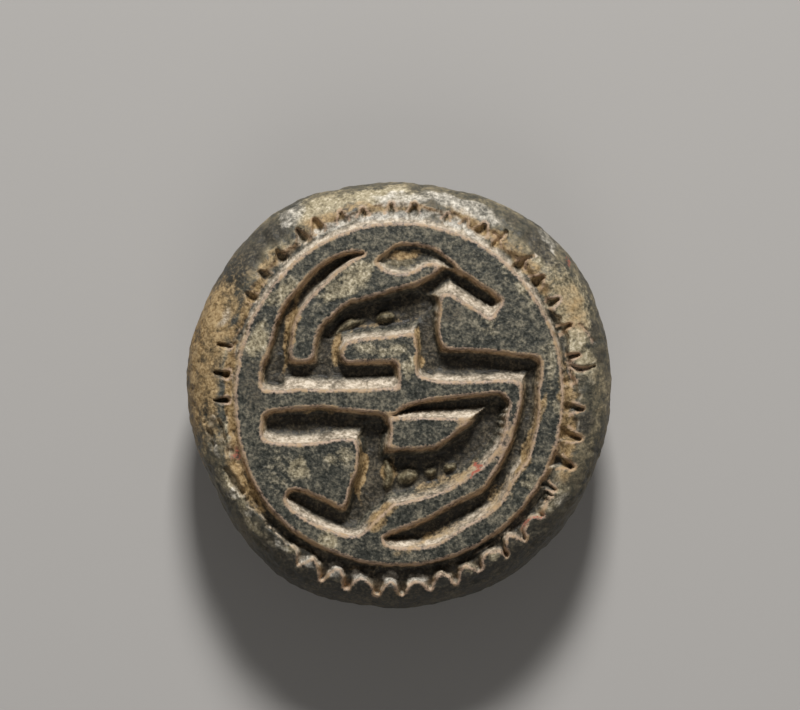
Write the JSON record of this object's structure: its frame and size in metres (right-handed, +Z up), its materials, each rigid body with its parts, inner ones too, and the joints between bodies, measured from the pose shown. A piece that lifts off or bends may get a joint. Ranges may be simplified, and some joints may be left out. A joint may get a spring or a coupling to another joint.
{
  "type": "stone stamp seal amulet",
  "caption": "Round domed stone stamp seal with goats cut head to tail inside a notched ring, drilled from side to side so that it hangs on a cord.",
  "frame": {"origin": "middle of the small flat on the underside of the domed back", "axes": "+Z up through the carved face, +Y towards the top of the carving, X along the string hole"},
  "size_m": [0.0426, 0.0427, 0.0148],
  "materials": {
    "stone": "dull polish"
  },
  "bodies": {
    "root": {"seal_amulet": "stone"}
  },
  "joints": []
}
